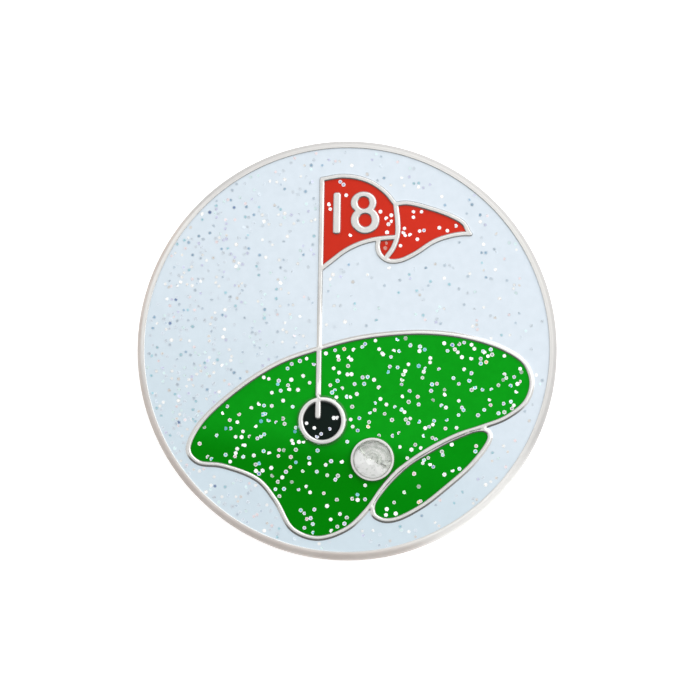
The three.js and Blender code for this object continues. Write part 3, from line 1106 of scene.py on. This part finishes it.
# Kinds of flake in a fill: how common, the heart's colour and the edge's colour.
SKY_GLITTER = [
    (6, WHITE, CREAM), (16, CREAM, HAZE), (30, MIST, HAZE), (12, SLATE, HAZE), (7, BEIGE, HAZE),
    (6, BLUSH, HAZE), (8, THISTLE, HAZE), (9, FOAM, HAZE), (5, STEEL, MIST), (9, AQUA, MIST),
    (1, NAVY, SLATE),
]
GREEN_GLITTER = [
    (26, WHITE, WHITE), (9, ROSE, WHITE), (13, LILAC, WHITE), (12, ASH, WHITE), (12, PEARL, WHITE),
    (9, CYAN, WHITE), (9, ICE, WHITE), (4, CYAN, ICE), (2, TEAL, CYAN), (2, BLUE, WHITE),
    (5, SAGE, WHITE), (3, ASH, SAGE), (2, GOLD, WHITE),
]
BURIED = seen_as(214, 128, 112)
FOLD_GLITTER = [(1, BURIED, BURIED)]
RED_GLITTER = [(60, WHITE, WHITE), (14, PEARL, WHITE), (10, LILAC, WHITE), (6, ROSE, ROSE)]
CUP_GLITTER = [(3, WHITE, WHITE), (2, LILAC, WHITE)]


def evenly(spots):
    return np.ones(len(spots))


SKY_THINNING = 0.72  # of the flakes are missing at the right
SKY_THINS = (-10, 4)  # x where the thinning begins and is in full
THINNING_SLANT = 0.15


def thicker_on_the_left(spots):
    across = spots[:, 0] + THINNING_SLANT * spots[:, 1]
    return 1 - SKY_THINNING * smoothstep(*SKY_THINS, across)


disc = struck_disc()
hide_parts("struck_disc")
finish_piece(disc, MATERIALS["nickel"])

FILLS = [
    # CAD node, piece, material, number of flakes, their palette and crowding
    ("sky_enamel", "sky_fill", "sky", 720, SKY_GLITTER, thicker_on_the_left),
    ("green_enamel", "green_fill", "green", 290, GREEN_GLITTER, evenly),
    ("apron_enamel", "apron_fill", "apron", 22, GREEN_GLITTER, evenly),
    ("cup_enamel", "cup_fill", "black", 7, CUP_GLITTER, evenly),
    ("flag_enamel", "flag_fill", "red", 12, RED_GLITTER, evenly),
    ("flag_fold_enamel", "flag_fold_fill", "shaded_red", 2, FOLD_GLITTER, evenly),
    ("flag_tail_enamel", "flag_tail_fill", "red", 14, RED_GLITTER, evenly),
    ("eight_upper_enamel", "eight_upper_fill", "red", 0, RED_GLITTER, evenly),
    ("eight_lower_enamel", "eight_lower_fill", "red", 0, RED_GLITTER, evenly),
]
for seed, (node, name, material, flakes, palette, crowd) in enumerate(FILLS):
    piece, loops, border = enamel(node, name)
    finish_piece(piece, MATERIALS[material])
    if flakes:
        glitter(name.replace("fill", "glitter"), loops, border, flakes, palette, crowd, seed)

recolour("crystal", MATERIALS["glass"])
recolour("crystal_foil", MATERIALS["foil"])
recolour("crystal_glue", MATERIALS["epoxy"])


# ---- Floor, light and camera ----

FLOOR_REACH = 0.6  # metres from the marker to each side of the floor


def floor():
    signs = ((-1, -1), (1, -1), (1, 1), (-1, 1))
    corners = [(FLOOR_REACH * x, FLOOR_REACH * y, 0) for x, y in signs]
    mesh = bpy.data.meshes.new("floor")
    mesh.from_pydata(corners, [], [(0, 1, 2, 3)])
    mesh.materials.append(MATERIALS["floor"])
    piece = bpy.data.objects.new("floor", mesh)
    bpy.context.scene.collection.objects.link(piece)


VIEW_TILT = math.radians(5.7)  # between the line of sight and the disc's axis
VIEW_AZIMUTH = math.radians(23.2)
VIEW_ROLL = math.radians(0.83)
VIEW_WIDTH = 42.32 * MM  # what the view takes in at the marker
VIEW_SHIFT = (0.20 * MM, -0.053 * MM)  # the marker sits a little off the view's middle
CAMERA_DISTANCE = 0.3
SENSOR = 36.0  # millimetres, like the lens


def camera():
    towards = Vector((math.sin(VIEW_AZIMUTH), -math.cos(VIEW_AZIMUTH), 0))
    tilt = Quaternion(Vector((0, 0, 1)).cross(towards), VIEW_TILT)
    roll = Quaternion((0, 0, 1), VIEW_ROLL)
    right = tilt @ roll @ Vector((1, 0, 0))
    up = tilt @ roll @ Vector((0, 1, 0))
    back = tilt @ Vector((0, 0, 1))
    target = Vector((0, 0, ENAMEL_TOP * MM)) + VIEW_SHIFT[0] * right + VIEW_SHIFT[1] * up
    data = bpy.data.cameras.new("camera")
    data.sensor_width = SENSOR
    data.lens = SENSOR * CAMERA_DISTANCE / VIEW_WIDTH
    data.clip_start = 0.01
    data.clip_end = 10
    view = bpy.data.objects.new("camera", data)
    bpy.context.scene.collection.objects.link(view)
    axes = Matrix((right, up, back)).transposed().to_4x4()
    view.matrix_world = Matrix.Translation(target + CAMERA_DISTANCE * back) @ axes
    bpy.context.scene.camera = view


HORIZON_LEVEL = 0.68  # strengths of the tent's light
OVERHEAD_LEVEL = 1.22
OVERHEAD_COSINE = 0.75  # from here to straight up the tent is at its overhead level
# Dark places in the tent: a direction, the degrees from it where the darkening begins and is in
# full, and the share of light that is left.
LENS_HOLE = ((-0.04, 0.09, 1), 17, 9, 0.04)
LOW_SHADE = ((-0.14, -0.99, 0.05), 68, 50, 0.2)


def tent():
    """A light tent: brightest overhead, dark where the lens looks in and low at the front."""
    world = bpy.data.worlds.new("tent")
    bpy.context.scene.world = world
    world.use_nodes = True
    tree = world.node_tree
    background = tree.nodes["Background"]
    direction = tree.nodes.new("ShaderNodeTexCoord").outputs["Generated"]

    def facing(vector, low, high, out_low, out_high):
        """A level that changes as the direction's cosine to a vector goes from low to high."""
        dot = tree.nodes.new("ShaderNodeVectorMath")
        dot.operation = "DOT_PRODUCT"
        tree.links.new(direction, dot.inputs[0])
        dot.inputs[1].default_value = Vector(vector).normalized()
        return eased(tree, dot.outputs["Value"], low, high, out_low, out_high)

    def darkened(vector, begins, full, share):
        low, high = (math.cos(math.radians(degrees)) for degrees in (begins, full))
        return facing(vector, low, high, 1, share)

    def times(first, second):
        node = tree.nodes.new("ShaderNodeMath")
        node.operation = "MULTIPLY"
        tree.links.new(first, node.inputs[0])
        tree.links.new(second, node.inputs[1])
        return node.outputs[0]

    dome = facing((0, 0, 1), 0.0, OVERHEAD_COSINE, HORIZON_LEVEL, OVERHEAD_LEVEL)
    strength = times(times(dome, darkened(*LENS_HOLE)), darkened(*LOW_SHADE))
    background.inputs["Color"].default_value = (1, 1, 1, 1)
    tree.links.new(strength, background.inputs["Strength"])


KEY_PLACE = (0.19, 0.165, 0.24)  # metres, like its size
KEY_SIZE = 0.5
KEY_POWER = 0.96  # watts


def key_light():
    """A wide softbox from the upper right, turned to the marker."""
    data = bpy.data.lights.new("key", "AREA")
    data.shape = "SQUARE"
    data.size = KEY_SIZE
    data.energy = KEY_POWER
    light = bpy.data.objects.new("key", data)
    bpy.context.scene.collection.objects.link(light)
    light.location = KEY_PLACE
    light.rotation_euler = (-Vector(KEY_PLACE)).to_track_quat("-Z", "Y").to_euler()


floor()
camera()
tent()
key_light()
bpy.context.scene.view_settings.view_transform = "Standard"
